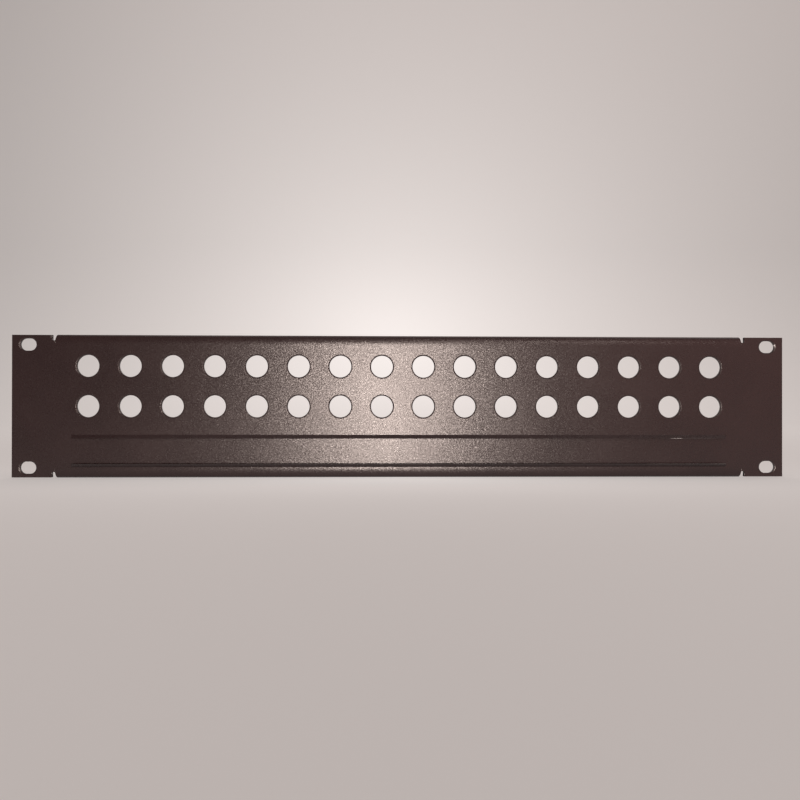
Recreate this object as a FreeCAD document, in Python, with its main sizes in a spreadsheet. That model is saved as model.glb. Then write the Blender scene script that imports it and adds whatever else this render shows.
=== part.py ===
import FreeCAD, Part
import math
import os

import Sketcher

# Two-unit rack panel for round bulkhead connectors.
# It is one steel sheet: punched, with two label lips formed out of the face, and folded back
# along its long edges. X runs along the panel, Z is up and the face looks towards -Y.
# The origin is the middle of the four rack slots, on the rear face that meets the rack rails.

NODE = "rack_panel"

# How far a point may be from a plane and still count as on it
FLAT = 1e-6

# Driving dimensions, in millimetres, degrees or counts
SIZES = {
    "panel_width": "482.6",
    "panel_height": "88.1",
    "sheet_thickness": "1.5",
    "fold_overhang": "0.4",
    "fold_lead_radius": "13.0",
    "fold_lead_angle": "19.5",
    "fold_inner_radius": "0.7",
    "flange_depth": "15.0",
    "flange_mitre": "0.6",
    "ear_width": "24.45",
    "relief_width": "1.7",
    "relief_depth": "3.3",
    "rack_slot_end_margin": "9.8",
    "rack_slot_edge_margin": "5.95",
    "rack_slot_length": "9.8",
    "rack_slot_width": "7.6",
    "connector_hole_diameter": "13.7",
    "connector_count": "16",
    "connector_pitch": "26.0",
    "connector_row_count": "2",
    "connector_row_spacing": "25.0",
    "connector_rows_height": "12.5",
    "label_end_margin": "36.3",
    "label_edge_margin": "6.3",
    "label_height": "20.05",
    "lip_width": "2.2",
    "lip_rise": "2.6",
    "lip_thickness": "1.2",
    "lip_end_run": "1.5",
    "slit_edge_radius": "0.5",
    "rim_width": "0.7",
    "rim_depth": "0.4",
}

# Rules worked out from the driving dimensions
THICKNESS = "sizes.sheet_thickness"
HALF_WIDTH = "(sizes.panel_width / 2)"
HALF_HEIGHT = "(sizes.panel_height / 2)"
FOLD_TOP = f"({HALF_HEIGHT} + sizes.fold_overhang)"
FOLD_OUTER = "(sizes.fold_inner_radius + sizes.sheet_thickness)"
LEAD_OUTER = "sizes.fold_lead_radius"
LEAD_INNER = "(sizes.fold_lead_radius - sizes.sheet_thickness)"
LEAD_SIN = "sin(sizes.fold_lead_angle * 1 deg)"
LEAD_COS = "cos(sizes.fold_lead_angle * 1 deg)"
FOLD_LINE = f"({FOLD_TOP} - {FOLD_OUTER} - ({LEAD_OUTER} - {FOLD_OUTER}) * {LEAD_SIN})"
FOLD_BACK = f"({LEAD_INNER} - ({LEAD_OUTER} - {FOLD_OUTER}) * {LEAD_COS})"
RELIEF_ROOT = f"({HALF_HEIGHT} - sizes.relief_depth)"
EAR_EDGE = f"({HALF_WIDTH} - sizes.ear_width)"
FLANGE_END = f"({EAR_EDGE} - sizes.relief_width)"
FLANGE_EDGE = f"(sizes.flange_depth - {THICKNESS})"
SLOT_ACROSS = f"({HALF_WIDTH} - sizes.rack_slot_end_margin)"
SLOT_UP = f"({HALF_HEIGHT} - sizes.rack_slot_edge_margin)"
LABEL_END = f"({HALF_WIDTH} - sizes.label_end_margin)"
LABEL_FOOT = f"(sizes.label_edge_margin - {HALF_HEIGHT})"
LIP_SLOPE = "(sizes.lip_width / sizes.lip_rise)"
LIP_FRONT = f"({THICKNESS} + sizes.lip_rise)"
LIP_LENGTH = "sqrt(sizes.lip_width * sizes.lip_width + sizes.lip_rise * sizes.lip_rise)"
LIP_HOLLOW = f"({LIP_FRONT} - sizes.lip_thickness * {LIP_LENGTH} / sizes.lip_width)"


def make_sheet(doc):
    """The spreadsheet that holds every driving dimension under its own alias."""
    sheet = doc.addObject("Spreadsheet::Sheet", "sizes")
    for row, (alias, value) in enumerate(SIZES.items(), start=1):
        sheet.set(f"A{row}", alias)
        sheet.set(f"B{row}", value)
        sheet.setAlias(f"B{row}", alias)
    doc.recompute()


def origin_feature(body, role):
    return next(f for f in body.Origin.OriginFeatures if f.Role == role)


def new_sketch(body, name, role):
    """A sketch on one of the body's own origin planes."""
    sketch = body.newObject("Sketcher::SketchObject", name)
    sketch.AttachmentSupport = [(origin_feature(body, role), "")]
    sketch.MapMode = "FlatFace"
    return sketch


def bind(sketch, name, constraint, rule):
    """Add a constraint under a name and tie its value to a rule."""
    index = sketch.addConstraint(constraint)
    sketch.renameConstraint(index, name)
    sketch.setExpression(f"Constraints.{name}", rule)


def arc_between(start, end, radius, turn):
    """An arc of up to half a turn; turn is 1 where it bends to the left and -1 to the right."""
    chord = end - start
    half = chord.Length / 2
    reach = math.sqrt(max(radius * radius - half * half, 0.0))
    side = FreeCAD.Vector(chord.y, -chord.x, 0).normalize() * turn
    middle = (start + end) / 2 + side * (radius - reach)
    return Part.Arc(start, middle, end)


def draw_profile(sketch, name, corners):
    """A closed outline.

    Each corner is (across rule, up rule), followed by (radius rule, turn) where an arc leaves it.
    """
    sheet = sketch.Document.getObject("sizes")
    points = [
        FreeCAD.Vector(float(sheet.evalExpression(c[0])), float(sheet.evalExpression(c[1])), 0)
        for c in corners
    ]
    edges = []
    for i, corner in enumerate(corners):
        start = points[i]
        end = points[(i + 1) % len(points)]
        if len(corner) == 4:
            radius = float(sheet.evalExpression(corner[2]))
            edges.append(sketch.addGeometry(arc_between(start, end, radius, corner[3])))
        else:
            edges.append(sketch.addGeometry(Part.LineSegment(start, end)))

    def end_at(edge, point):
        return min((1, 2), key=lambda pos: (sketch.getPoint(edge, pos) - point).Length)

    for i, corner in enumerate(corners):
        edge = edges[i]
        before = edges[i - 1]
        pos = end_at(edge, points[i])
        sketch.addConstraint(
            Sketcher.Constraint("Coincident", before, end_at(before, points[i]), edge, pos)
        )
        across = Sketcher.Constraint("DistanceX", -1, 1, edge, pos, points[i].x)
        up = Sketcher.Constraint("DistanceY", -1, 1, edge, pos, points[i].y)
        bind(sketch, f"{name}_{i}_across", across, corner[0])
        bind(sketch, f"{name}_{i}_up", up, corner[1])
        if len(corner) == 4:
            radius = float(sheet.evalExpression(corner[2]))
            bind(sketch, f"{name}_{i}_radius", Sketcher.Constraint("Radius", edge, radius), corner[2])


def add_front(body):
    """The flat face: full height at the two ears, and only up to the fold lines between them."""
    sketch = new_sketch(body, "front_outline", "XZ_Plane")
    quarter = [
        (HALF_WIDTH, HALF_HEIGHT),
        (EAR_EDGE, HALF_HEIGHT),
        (EAR_EDGE, RELIEF_ROOT),
        (FLANGE_END, RELIEF_ROOT),
        (FLANGE_END, FOLD_LINE),
    ]
    top = quarter + [(f"-{x}", z) for x, z in reversed(quarter)]
    bottom = [(x, f"-{z}") for x, z in reversed(top)]
    draw_profile(sketch, "outline", top + bottom)
    pad = body.newObject("PartDesign::Pad", "front")
    pad.Profile = sketch
    pad.setExpression("Length", THICKNESS)


def add_flanges(body):
    """The two folds, each a gentle lead, a tight bend and a flange that runs straight back."""
    sketch = new_sketch(body, "flange_section", "YZ_Plane")
    for side, sign in (("top", 1), ("bottom", -1)):
        mark = "" if sign > 0 else "-"
        outer_face = f"{mark}{FOLD_TOP}"
        inner_face = f"{mark}({FOLD_TOP} - {THICKNESS})"
        outer_knee = (
            f"({LEAD_INNER} - {LEAD_OUTER} * {LEAD_COS})",
            f"{mark}({FOLD_LINE} + {LEAD_OUTER} * {LEAD_SIN})",
        )
        inner_knee = (
            f"({LEAD_INNER} - {LEAD_INNER} * {LEAD_COS})",
            f"{mark}({FOLD_LINE} + {LEAD_INNER} * {LEAD_SIN})",
        )
        corners = [
            (f"-{THICKNESS}", f"{mark}{FOLD_LINE}", LEAD_OUTER, -sign),
            (*outer_knee, FOLD_OUTER, -sign),
            (FOLD_BACK, outer_face),
            (FLANGE_EDGE, outer_face),
            (FLANGE_EDGE, inner_face),
            (FOLD_BACK, inner_face, "sizes.fold_inner_radius", sign),
            (*inner_knee, LEAD_INNER, sign),
            ("0", f"{mark}{FOLD_LINE}"),
        ]
        draw_profile(sketch, side, corners)
    pad = body.newObject("PartDesign::Pad", "flanges")
    pad.Profile = sketch
    pad.SideType = "Symmetric"
    pad.setExpression("Length", f"2 * {FLANGE_END}")


def add_flange_mitres(body):
    """The ends of both folds lean inwards from the foot of each relief, so the relief widens outwards."""
    sketch = new_sketch(body, "flange_mitre_outline", "XZ_Plane")
    clear = "sizes.relief_width / 2"
    outside = f"({FLANGE_END} + {clear})"
    above = f"({FOLD_TOP} + {clear})"
    lean = f"(sizes.flange_mitre * ({above} - {RELIEF_ROOT}) / ({FOLD_TOP} - {RELIEF_ROOT}))"
    for level, up in (("top", ""), ("bottom", "-")):
        for side, across in (("left", "-"), ("right", "")):
            corners = [
                (f"{across}{FLANGE_END}", f"{up}{RELIEF_ROOT}"),
                (f"{across}{outside}", f"{up}{RELIEF_ROOT}"),
                (f"{across}{outside}", f"{up}{above}"),
                (f"{across}({FLANGE_END} - {lean})", f"{up}{above}"),
            ]
            draw_profile(sketch, f"{level}_{side}", corners)
    pocket = body.newObject("PartDesign::Pocket", "flange_mitres")
    pocket.Profile = sketch
    pocket.SideType = "Two sides"
    pocket.Type = "ThroughAll"
    pocket.Type2 = "ThroughAll"


def label_levels():
    """For each lip: its name, the height of its crease and the sign of its slope."""
    return [
        ("upper", f"({LABEL_FOOT} + sizes.label_height)", "-"),
        ("lower", LABEL_FOOT, "+"),
    ]


def add_lips(body):
    """Two formed lips that face each other and hold a label between them: the outer wedges."""
    sketch = new_sketch(body, "lip_section", "YZ_Plane")
    for side, crease, inward in label_levels():
        tip = f"({crease} {inward} sizes.lip_width)"
        corners = [
            (f"-{THICKNESS}", crease),
            (f"-{LIP_FRONT}", tip),
            (f"-{THICKNESS}", tip),
        ]
        draw_profile(sketch, side, corners)
    pad = body.newObject("PartDesign::Pad", "lips")
    pad.Profile = sketch
    pad.SideType = "Symmetric"
    pad.setExpression("Length", f"2 * {LABEL_END}")


def add_lip_ends(body):
    """Each lip runs down to the face at its two ends."""
    sketch = new_sketch(body, "lip_end_plan", "XY_Plane")
    clear = "(sizes.lip_rise / 2)"
    front = f"({LIP_FRONT} + {clear})"
    slope = f"(sizes.lip_end_run * (sizes.lip_rise + {clear}) / sizes.lip_rise)"
    for side, mark in (("right", ""), ("left", "-")):
        corners = [
            (f"{mark}{LABEL_END}", f"-{THICKNESS}"),
            (f"{mark}({LABEL_END} + {clear})", f"-{THICKNESS}"),
            (f"{mark}({LABEL_END} + {clear})", f"-{front}"),
            (f"{mark}({LABEL_END} - {slope})", f"-{front}"),
        ]
        draw_profile(sketch, side, corners)
    pocket = body.newObject("PartDesign::Pocket", "lip_ends")
    pocket.Profile = sketch
    pocket.SideType = "Two sides"
    pocket.Type = "ThroughAll"
    pocket.Type2 = "ThroughAll"


def add_lip_hollows(body):
    """The hollow behind each lip, open to the rear and, as a slit past the sheet's edge, to the label."""
    sketch = new_sketch(body, "lip_hollow_section", "YZ_Plane")
    for side, crease, inward in label_levels():
        outward = "+" if inward == "-" else "-"
        turn = 1 if inward == "-" else -1
        tip = f"({crease} {inward} sizes.lip_width)"
        edge = f"({tip} {outward} sizes.slit_edge_radius)"
        corners = [
            ("0", f"({tip} {outward} {LIP_HOLLOW} * {LIP_SLOPE})"),
            (f"-{LIP_HOLLOW}", tip),
            (f"-{THICKNESS}", tip, "sizes.slit_edge_radius", turn),
            (f"sizes.slit_edge_radius - {THICKNESS}", edge),
            ("0", edge),
        ]
        draw_profile(sketch, side, corners)
    pocket = body.newObject("PartDesign::Pocket", "lip_hollows")
    pocket.Profile = sketch
    pocket.SideType = "Symmetric"
    pocket.setExpression(
        "Length", f"2 * ({LABEL_END} - sizes.lip_end_run - sizes.lip_thickness)"
    )


def repeat(body, feature, name, across, up):
    """A grid of one punched hole. across and up are each (spacing rule, count rule)."""
    body.Document.recompute()
    pattern = body.newObject("PartDesign::LinearPattern", name)
    pattern.Originals = [feature]
    pattern.Direction = (origin_feature(body, "X_Axis"), [""])
    pattern.Direction2 = (origin_feature(body, "Z_Axis"), [""])
    pattern.Mode = "Extent"
    pattern.Mode2 = "Extent"
    pattern.setExpression("Occurrences", across[1])
    pattern.setExpression("Occurrences2", up[1])
    pattern.setExpression("Length", f"{across[0]} * ({across[1]} - 1)")
    pattern.setExpression("Length2", f"{up[0]} * ({up[1]} - 1)")
    body.Tip = pattern


def punch(body, sketch, name):
    """A cut through the face; the sketch lies on its rear."""
    pocket = body.newObject("PartDesign::Pocket", name)
    pocket.Profile = sketch
    pocket.Type = "ThroughAll"
    pocket.Reversed = True
    return pocket


def add_connector_holes(body):
    """Rows of round holes for bulkhead connectors, centred across the panel."""
    sketch = new_sketch(body, "connector_hole_outline", "XZ_Plane")
    sheet = body.Document.getObject("sizes")
    first = "-(sizes.connector_count - 1) * sizes.connector_pitch / 2"
    rows_half = "(sizes.connector_row_count - 1) * sizes.connector_row_spacing / 2"
    height = f"sizes.connector_rows_height - {rows_half}"
    radius = "sizes.connector_hole_diameter / 2"
    x, z, r = (float(sheet.evalExpression(rule)) for rule in (first, height, radius))
    circle = sketch.addGeometry(
        Part.Circle(FreeCAD.Vector(x, z, 0), FreeCAD.Vector(0, 0, 1), r)
    )
    bind(sketch, "first_across", Sketcher.Constraint("DistanceX", -1, 1, circle, 3, x), first)
    bind(sketch, "first_up", Sketcher.Constraint("DistanceY", -1, 1, circle, 3, z), height)
    bind(sketch, "hole_radius", Sketcher.Constraint("Radius", circle, r), radius)
    hole = punch(body, sketch, "connector_hole")
    across = ("sizes.connector_pitch", "sizes.connector_count")
    up = ("sizes.connector_row_spacing", "sizes.connector_row_count")
    repeat(body, hole, "connector_holes", across, up)


def add_rack_slots(body):
    """Four round-ended slots, one near each corner, for the screws into the rack rails."""
    sketch = new_sketch(body, "rack_slot_outline", "XZ_Plane")
    half_run = "(sizes.rack_slot_length - sizes.rack_slot_width) / 2"
    radius = "sizes.rack_slot_width / 2"
    left = f"(-{SLOT_ACROSS} - {half_run})"
    right = f"(-{SLOT_ACROSS} + {half_run})"
    low = f"(-{SLOT_UP} - {radius})"
    high = f"(-{SLOT_UP} + {radius})"
    corners = [
        (left, low),
        (right, low, radius, 1),
        (right, high),
        (left, high, radius, 1),
    ]
    draw_profile(sketch, "slot", corners)
    slot = punch(body, sketch, "rack_slot")
    across = (f"2 * {SLOT_ACROSS}", "2")
    up = (f"2 * {SLOT_UP}", "2")
    repeat(body, slot, "rack_slots", across, up)


def on_face(edge, thickness):
    """Does this edge lie in the plane of the panel's face?"""
    box = edge.BoundBox
    return abs(box.YMin + thickness) < FLAT and abs(box.YMax + thickness) < FLAT


def meets_wall(shape, edge):
    """Does this edge have a wall that stands square to the panel's face?"""
    middle = edge.valueAt((edge.FirstParameter + edge.LastParameter) / 2)
    for wall in shape.ancestorsOfType(edge, Part.Face):
        u, v = wall.Surface.parameter(middle)
        if abs(wall.normalAt(u, v).y) < FLAT:
            return True
    return False


def rim_edges(shape, thickness):
    """Names of the front edges of the punched holes: the closed loops with walls all round."""
    rims = []
    for face in shape.Faces:
        for wire in face.Wires:
            if wire.isSame(face.OuterWire):
                continue
            if all(on_face(e, thickness) and meets_wall(shape, e) for e in wire.Edges):
                rims += wire.Edges
    return [
        f"Edge{index}"
        for index, edge in enumerate(shape.Edges, start=1)
        if any(edge.isSame(rim) for rim in rims)
    ]


def add_rims(body):
    """A small bevel round the front of every punched hole and slot, where the edge is broken."""
    doc = body.Document
    doc.recompute()
    base = body.Tip
    thickness = float(doc.getObject("sizes").evalExpression(THICKNESS))
    bevel = body.newObject("PartDesign::Chamfer", "rims")
    bevel.Base = (base, rim_edges(base.Shape, thickness))
    bevel.ChamferType = "Two distances"
    bevel.setExpression("Size", "sizes.rim_width")
    bevel.setExpression("Size2", "sizes.rim_depth")


def build(doc):
    make_sheet(doc)
    body = doc.addObject("PartDesign::Body", NODE)
    body.Label = NODE
    add_front(body)
    add_flanges(body)
    add_flange_mitres(body)
    add_lips(body)
    add_lip_ends(body)
    add_lip_hollows(body)
    add_connector_holes(body)
    add_rack_slots(body)
    add_rims(body)
    doc.recompute()
    return body


def check(doc, body):
    """Stop if any object failed or the sheet isn't one sound solid."""
    for obj in doc.Objects:
        if "Invalid" in obj.State or "Error" in obj.State:
            raise RuntimeError(f"{obj.Name} failed: {obj.State}")
    shape = body.Shape
    if shape.isNull() or not shape.isValid() or len(shape.Solids) != 1:
        raise RuntimeError(f"{body.Label} is not one valid solid")


doc = FreeCAD.newDocument("bnc_rack_panel")
panel = build(doc)
check(doc, panel)
os.makedirs("parts", exist_ok=True)
panel.Shape.exportStep(f"parts/{NODE}.step")
print(NODE, "volume", round(panel.Shape.Volume, 1), "box", panel.Shape.BoundBox)
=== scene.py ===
import math

import bpy
from mathutils import Matrix, Vector


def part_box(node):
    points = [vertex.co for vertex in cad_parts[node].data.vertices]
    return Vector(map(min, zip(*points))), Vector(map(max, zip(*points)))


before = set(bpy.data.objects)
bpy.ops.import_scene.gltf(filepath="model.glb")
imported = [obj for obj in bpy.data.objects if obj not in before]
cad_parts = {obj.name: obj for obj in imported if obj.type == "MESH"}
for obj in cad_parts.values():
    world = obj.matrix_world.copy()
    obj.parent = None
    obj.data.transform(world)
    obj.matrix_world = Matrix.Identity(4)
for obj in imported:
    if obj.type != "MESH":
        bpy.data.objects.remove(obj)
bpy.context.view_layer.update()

# All sizes are metres unless a name says otherwise
MM = 0.001
PANEL = "rack_panel"
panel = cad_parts[PANEL]
# The floor is at the panel's lowest corner
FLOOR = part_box(PANEL)[0].z

# Camera of the photograph, fitted to the holes and the outline of the panel
CAMERA_PLACE = Vector((-9.64, -363.31, 3.21)) * MM
CAMERA_TURN_DEG = -1.262
CAMERA_TILT_DEG = 0.143
CAMERA_ROLL_DEG = 0.083
# An unturned camera looks straight down, and this tilt makes it look level
LEVEL_TILT_DEG = 90
LENS_MM = 26.0
SENSOR_MM = 36.0
CLIP_START = 0.01

# Noise values lie about a middle, nearly all of them between these two
NOISE_LOW = 0.3
NOISE_MIDDLE = 0.5
NOISE_HIGH = 0.7


def add_object(name, data):
    """A new object, linked to the scene."""
    made = bpy.data.objects.new(name, data)
    bpy.context.scene.collection.objects.link(made)
    return made


def new_material(name):
    """An empty node material and its output node."""
    material = bpy.data.materials.new(name)
    material.use_nodes = True
    nodes = material.node_tree.nodes
    nodes.clear()
    return material, nodes.new("ShaderNodeOutputMaterial")


def opaque(colour):
    """A colour as a socket takes it, with full alpha."""
    return (*colour, 1.0)


def feed(tree, value, socket):
    """Give a socket a plain value, or a link from another socket."""
    if isinstance(value, bpy.types.NodeSocket):
        tree.links.new(value, socket)
    else:
        socket.default_value = value


def noise(tree, vector, size, detail=2.0, gain=0.5, shift=0.0, output="Fac"):
    """Noise with features of about the given size.

    Each finer octave is gain times as strong as the last. Another shift gives another pattern.
    """
    node = tree.nodes.new("ShaderNodeTexNoise")
    node.noise_dimensions = "4D"
    node.inputs["W"].default_value = shift
    node.inputs["Scale"].default_value = 1.0 / size
    node.inputs["Detail"].default_value = detail
    node.inputs["Roughness"].default_value = gain
    tree.links.new(vector, node.inputs["Vector"])
    return node.outputs[output]


def math_node(tree, operation, *values):
    """One arithmetic step on sockets or plain numbers."""
    node = tree.nodes.new("ShaderNodeMath")
    node.operation = operation
    for value, socket in zip(values, node.inputs):
        feed(tree, value, socket)
    return node.outputs["Value"]


def vector_node(tree, operation, *values):
    """One step of vector arithmetic on sockets or plain vectors."""
    node = tree.nodes.new("ShaderNodeVectorMath")
    node.operation = operation
    for value, socket in zip(values, node.inputs):
        feed(tree, value, socket)
    return node.outputs["Value" if operation == "LENGTH" else "Vector"]


def mix_colours(tree, factor, first, second):
    """A colour between first and second by a factor socket."""
    node = tree.nodes.new("ShaderNodeMix")
    node.data_type = "RGBA"
    tree.links.new(factor, node.inputs["Factor"])
    for name, value in (("A", first), ("B", second)):
        feed(tree, value, next(s for s in node.inputs if s.name == name and s.type == "RGBA"))
    return next(s for s in node.outputs if s.type == "RGBA")


def spread(tree, value, low, high):
    """Stretch a noise value over low to high."""
    node = tree.nodes.new("ShaderNodeMapRange")
    tree.links.new(value, node.inputs["Value"])
    node.inputs["From Min"].default_value = NOISE_LOW
    node.inputs["From Max"].default_value = NOISE_HIGH
    node.inputs["To Min"].default_value = low
    node.inputs["To Max"].default_value = high
    return node.outputs["Result"]


# Powder coat
COAT_DARK = (0.0135, 0.0058, 0.0060)
COAT_LIGHT = (0.0172, 0.0074, 0.0076)
COAT_ROUGHNESS = (0.285, 0.315)
PATCH_SIZE = 35 * MM
PATCH_OCTAVES = 3.0
GRAIN_SIZE = 0.7 * MM
GRAIN_LEAN = 0.55
GRAIN_OCTAVES = 2.0
GRAIN_GAIN = 1.0
SHEEN = 0.16
SHEEN_OCTAVES = 0.0
SHEEN_SHIFT = 7.0
EDGE_RADIUS = 0.2 * MM
EDGE_SAMPLES = 16

# Painted highlights and wear: boxes in the panel's own millimetres where light is painted on the coat's
# edges, some of it also coat rubbed or chipped to the metal, and how strong each is
GLINT_AND_BARE_COLOUR = (0.70, 0.70, 0.71)
GLINT_AND_WEAR_EDGE = 0.6
GLINT_AND_WEAR_GRAIN = 1.2 * MM
GLINT_AND_WEAR_SHIFT = 3.0
GLINT_AND_WEAR_RAGGED = (0.4, 1.4)
GLINTS_AND_WEAR = (
    # Painted highlight along the edge of the upper label lip, partly a rub worn to the metal, inside a
    # longer faint painted highlight
    ((168.0, -4.6, -20.2), (176.5, -3.4, -19.6), 0.4),
    ((163.0, -4.6, -20.2), (201.0, -3.4, -19.6), 0.04),
    # Fainter painted highlights on the upward edge of the lower lip, near its right end
    ((194.5, -4.4, -36.1), (205.5, -2.0, -35.4), 0.08),
    ((149.0, -4.4, -36.1), (205.5, -2.0, -35.4), 0.04),
    # Painted highlight at the end of the upper right slot, partly a chip worn to the metal
    ((235.7, -2.0, 38.4), (237.0, 0.5, 39.7), 0.75),
    # Painted highlight beside the upper left relief, partly a nick in the coat
    ((-217.8, -2.0, 42.1), (-217.1, 0.5, 43.8), 0.15),
)


def box_mask(tree, place, low, high):
    """1 well inside a box given in millimetres, falling to 0 at its sides."""
    low = Vector(low) * MM
    high = Vector(high) * MM
    away = vector_node(tree, "SUBTRACT", place, (low + high) / 2)
    away = vector_node(tree, "ABSOLUTE", away)
    away = vector_node(tree, "DIVIDE", away, (high - low) / 2)
    axes = tree.nodes.new("ShaderNodeSeparateXYZ")
    tree.links.new(away, axes.inputs["Vector"])
    far = math_node(tree, "MAXIMUM", axes.outputs["X"], axes.outputs["Y"])
    far = math_node(tree, "MAXIMUM", far, axes.outputs["Z"])
    inside = tree.nodes.new("ShaderNodeMapRange")
    inside.interpolation_type = "SMOOTHSTEP"
    tree.links.new(far, inside.inputs["Value"])
    inside.inputs["From Min"].default_value = 1.0
    inside.inputs["From Max"].default_value = GLINT_AND_WEAR_EDGE
    return inside.outputs["Result"]


def glint_and_wear_mask(tree, place):
    """How much of the light colour of painted highlights and of coat worn to the metal each point takes.
    """
    glint_and_bare = 0.0
    for low, high, amount in GLINTS_AND_WEAR:
        spot = math_node(tree, "MULTIPLY", box_mask(tree, place, low, high), amount)
        glint_and_bare = math_node(tree, "MAXIMUM", glint_and_bare, spot)
    ragged = spread(tree, noise(tree, place, GLINT_AND_WEAR_GRAIN, shift=GLINT_AND_WEAR_SHIFT), *GLINT_AND_WEAR_RAGGED)
    return math_node(tree, "MULTIPLY", glint_and_bare, ragged)


def coat_colour(tree, place, patches):
    """Black in slightly darker and lighter patches, with highlights painted light on a few edges, some
    of them also coat worn to the metal.
    """
    coat = mix_colours(tree, spread(tree, patches, 0.0, 1.0), opaque(COAT_DARK), opaque(COAT_LIGHT))
    # The light patches are painted highlights on edges, some of them also coat worn to the metal
    return mix_colours(tree, glint_and_wear_mask(tree, place), coat, opaque(GLINT_AND_BARE_COLOUR))


def coat_roughness(tree, place, patches):
    """A satin gloss that differs a little from patch to patch and from grain to grain."""
    grains = noise(tree, place, GRAIN_SIZE, detail=SHEEN_OCTAVES, shift=SHEEN_SHIFT)
    sheen = math_node(tree, "MULTIPLY", grains, SHEEN)
    roughness = math_node(tree, "ADD", spread(tree, patches, *COAT_ROUGHNESS), sheen)
    return math_node(tree, "SUBTRACT", roughness, SHEEN * NOISE_MIDDLE)


def coat_normal(tree, place):
    """The normal of rounded edges and of a coat whose grains each lean a little their own way."""
    edge = tree.nodes.new("ShaderNodeBevel")
    edge.samples = EDGE_SAMPLES
    edge.inputs["Radius"].default_value = EDGE_RADIUS
    lean = noise(tree, place, GRAIN_SIZE, detail=GRAIN_OCTAVES, gain=GRAIN_GAIN, output="Color")
    lean = vector_node(tree, "SUBTRACT", lean, (NOISE_MIDDLE,) * 3)
    lean = vector_node(tree, "MULTIPLY", lean, (GRAIN_LEAN,) * 3)
    return vector_node(tree, "NORMALIZE", vector_node(tree, "ADD", edge.outputs["Normal"], lean))


def powder_coat():
    """Fine-textured satin powder coat, rounded over the edges, with highlights painted light on a few
    edges, some of them also worn places.
    """
    material, output = new_material("powder_coat")
    tree = material.node_tree
    place = tree.nodes.new("ShaderNodeTexCoord").outputs["Object"]
    patches = noise(tree, place, PATCH_SIZE, detail=PATCH_OCTAVES)
    shader = tree.nodes.new("ShaderNodeBsdfPrincipled")
    tree.links.new(coat_colour(tree, place, patches), shader.inputs["Base Color"])
    tree.links.new(coat_roughness(tree, place, patches), shader.inputs["Roughness"])
    tree.links.new(coat_normal(tree, place), shader.inputs["Normal"])
    tree.links.new(shader.outputs["BSDF"], output.inputs["Surface"])
    return material


def dress_panel():
    panel.data.materials.clear()
    panel.data.materials.append(powder_coat())


# Stage: a floor at the panel's foot that sweeps up into a wall
STAGE_HALF_WIDTH = 4.0
STAGE_FRONT = -3.0
STAGE_BACK = 1.3
STAGE_TOP = 2.0
SWEEP_RADIUS = 0.5
SWEEP_STEPS = 16
STAGE_COLOUR = (0.60, 0.57, 0.555)
# The paper's glow is an even level and a sum of painted pools of light: the centre of each, the level
# there and its reach
GLOW_EVEN = 0.28
PAINTED_LIGHT_POOLS = (
    # Painted pools of light: one on the wall behind the panel, one on the floor at the panel's foot
    (Vector((0.0, STAGE_BACK, 0.1)), 1.05, (0.8, 0.8, 0.8)),
    (Vector((0.0, 0.0, FLOOR)), 0.5, (0.15, 0.05, 0.05)),
)
# The share of its level that a pool still has at its reach
GLOW_FALL = math.exp(-1)


def stage_profile():
    """The floor's run back, its sweep up and the wall, as (y, z) points."""
    sweep_start = STAGE_BACK - SWEEP_RADIUS
    points = [(STAGE_FRONT, FLOOR), (sweep_start, FLOOR)]
    for step in range(1, SWEEP_STEPS + 1):
        angle = math.pi / 2 * step / SWEEP_STEPS
        y = sweep_start + SWEEP_RADIUS * math.sin(angle)
        z = FLOOR + SWEEP_RADIUS - SWEEP_RADIUS * math.cos(angle)
        points.append((y, z))
    points.append((STAGE_BACK, STAGE_TOP))
    return points


def stage_material():
    """Matt pale paper. Where it is seen or mirrored it also glows a little, with painted pools of light,
    most behind the panel and some at the panel's foot.
    """
    material, output = new_material("stage_paper")
    tree = material.node_tree
    paper = tree.nodes.new("ShaderNodeBsdfDiffuse")
    paper.inputs["Color"].default_value = opaque(STAGE_COLOUR)
    glow = tree.nodes.new("ShaderNodeEmission")
    glow.inputs["Color"].default_value = opaque(STAGE_COLOUR)

    place = tree.nodes.new("ShaderNodeTexCoord").outputs["Object"]
    level = GLOW_EVEN
    # Each pool adds painted light to the glow
    for centre, peak, reach in PAINTED_LIGHT_POOLS:
        away = vector_node(tree, "SUBTRACT", place, centre)
        away = vector_node(tree, "DIVIDE", away, reach)
        fall = math_node(tree, "POWER", GLOW_FALL, vector_node(tree, "LENGTH", away))
        level = math_node(tree, "MULTIPLY_ADD", fall, peak, level)

    path = tree.nodes.new("ShaderNodeLightPath").outputs
    seen = math_node(tree, "MAXIMUM", path["Is Camera Ray"], path["Is Glossy Ray"])
    seen = math_node(tree, "MAXIMUM", seen, path["Is Transmission Ray"])
    tree.links.new(math_node(tree, "MULTIPLY", seen, level), glow.inputs["Strength"])
    both = tree.nodes.new("ShaderNodeAddShader")
    tree.links.new(paper.outputs["BSDF"], both.inputs[0])
    tree.links.new(glow.outputs["Emission"], both.inputs[1])
    tree.links.new(both.outputs["Shader"], output.inputs["Surface"])
    return material


def make_stage():
    profile = stage_profile()
    points = []
    for x in (-STAGE_HALF_WIDTH, STAGE_HALF_WIDTH):
        points += [(x, y, z) for y, z in profile]
    count = len(profile)
    faces = [(i, i + count, i + count + 1, i + 1) for i in range(count - 1)]
    mesh = bpy.data.meshes.new("stage")
    mesh.from_pydata(points, [], faces)
    mesh.polygons.foreach_set("use_smooth", [True] * len(faces))
    mesh.materials.append(stage_material())
    stage = add_object("stage", mesh)
    # The strip lamp reaches below the floor, so the stage stops no lamp's light
    stage.visible_shadow = False


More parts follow.
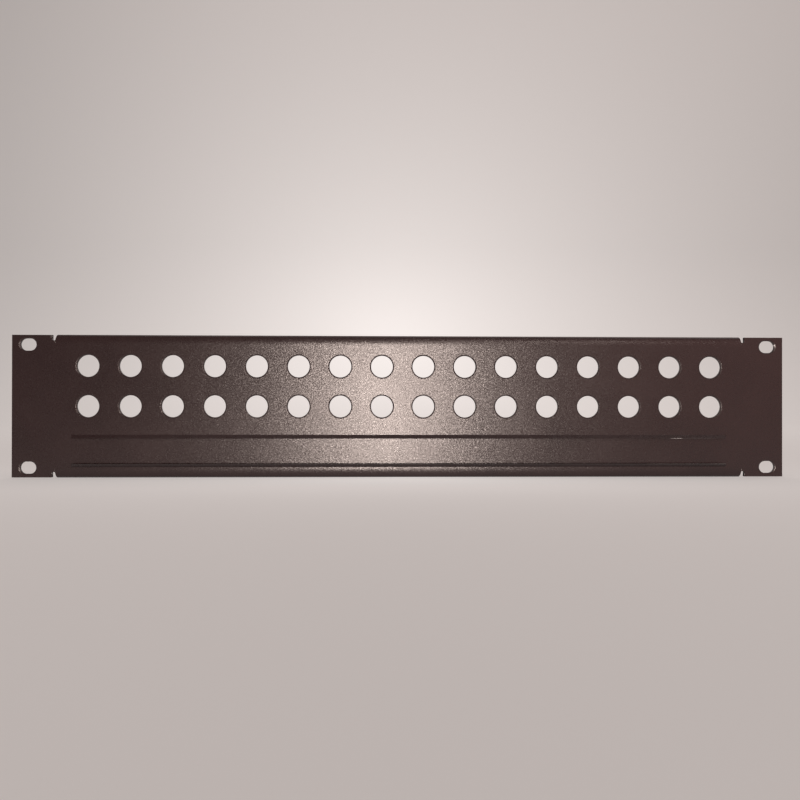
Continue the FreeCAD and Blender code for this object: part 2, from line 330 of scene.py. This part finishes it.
# Lights
ROOM_COLOUR = (1.0, 0.88, 0.84)
ROOM_STRENGTH = 0.20
STRIP_COLOUR = (1.0, 0.83, 0.75)
STRIP_PLACE = Vector((CAMERA_PLACE.x, -1.2, 0.02))
STRIP_AIM = Vector((CAMERA_PLACE.x, 0.0, 0.02))
STRIP_SIZE = (0.06, 0.52)
STRIP_LEVEL = 1.06
FILL_COLOUR = (1.0, 0.54, 0.50)
FILL_PLACE = Vector((0.95, -0.85, 0.30))
FILL_AIM = Vector((0.20, 0.0, 0.0))
FILL_SIZE = (1.0, 1.0)
FILL_LEVEL = 0.14
UPPER_PLACE = Vector((0.30, -1.0, 0.50))
UPPER_AIM = Vector((0.05, 0.0, 0.04))
UPPER_SIZE = (0.55, 0.06)
UPPER_LEVEL = 0.12
SKY_PLACE = Vector((0.6, 0.2, 1.8))
SKY_AIM = Vector((0.6, 0.2, 0.0))
SKY_SIZE = (3.0, 1.6)
SKY_LEVEL = 0.40


def area_lamp(name, place, aim, size, level, colour):
    """A soft lamp, size wide and high, that gives white paper held square to it the given level."""
    light = bpy.data.lights.new(name, "AREA")
    light.shape = "RECTANGLE"
    light.size, light.size_y = size
    light.color = colour
    light.energy = level * math.pi * math.pi * (place - aim).length_squared
    lamp = add_object(name, light)
    lamp.location = place
    lamp.rotation_mode = "QUATERNION"
    lamp.rotation_quaternion = (aim - place).to_track_quat("-Z", "Y")
    lamp.visible_camera = False
    return lamp


def make_lights():
    # Three lamps shape the coat's reflections alone, and the paper has the sky lamp and the room
    strip = area_lamp("strip_lamp", STRIP_PLACE, STRIP_AIM, STRIP_SIZE, STRIP_LEVEL, STRIP_COLOUR)
    fill = area_lamp("fill_lamp", FILL_PLACE, FILL_AIM, FILL_SIZE, FILL_LEVEL, FILL_COLOUR)
    upper = area_lamp("upper_lamp", UPPER_PLACE, UPPER_AIM, UPPER_SIZE, UPPER_LEVEL, STRIP_COLOUR)
    panel_only = bpy.data.collections.new("panel_only")
    panel_only.objects.link(panel)
    for lamp in (strip, fill, upper):
        lamp.light_linking.receiver_collection = panel_only
    # Bounced rays can't pass the floor, so the strip is found by rays sent straight to it and no others
    strip.data.cycles.use_multiple_importance_sampling = False

    area_lamp("sky_lamp", SKY_PLACE, SKY_AIM, SKY_SIZE, SKY_LEVEL, ROOM_COLOUR)
    world = bpy.data.worlds.new("room")
    bpy.context.scene.world = world
    world.use_nodes = True
    background = world.node_tree.nodes["Background"]
    background.inputs["Color"].default_value = opaque(ROOM_COLOUR)
    background.inputs["Strength"].default_value = ROOM_STRENGTH


def make_camera():
    data = bpy.data.cameras.new("camera")
    data.lens = LENS_MM
    data.sensor_width = SENSOR_MM
    data.clip_start = CLIP_START
    camera = add_object("camera", data)
    turn = Matrix.Rotation(math.radians(CAMERA_TURN_DEG), 4, "Z")
    tilt = Matrix.Rotation(math.radians(LEVEL_TILT_DEG + CAMERA_TILT_DEG), 4, "X")
    roll = Matrix.Rotation(math.radians(CAMERA_ROLL_DEG), 4, "Z")
    camera.matrix_world = Matrix.Translation(CAMERA_PLACE) @ turn @ tilt @ roll
    bpy.context.scene.camera = camera


dress_panel()
make_stage()
make_lights()
make_camera()
bpy.context.scene.view_settings.view_transform = "Standard"
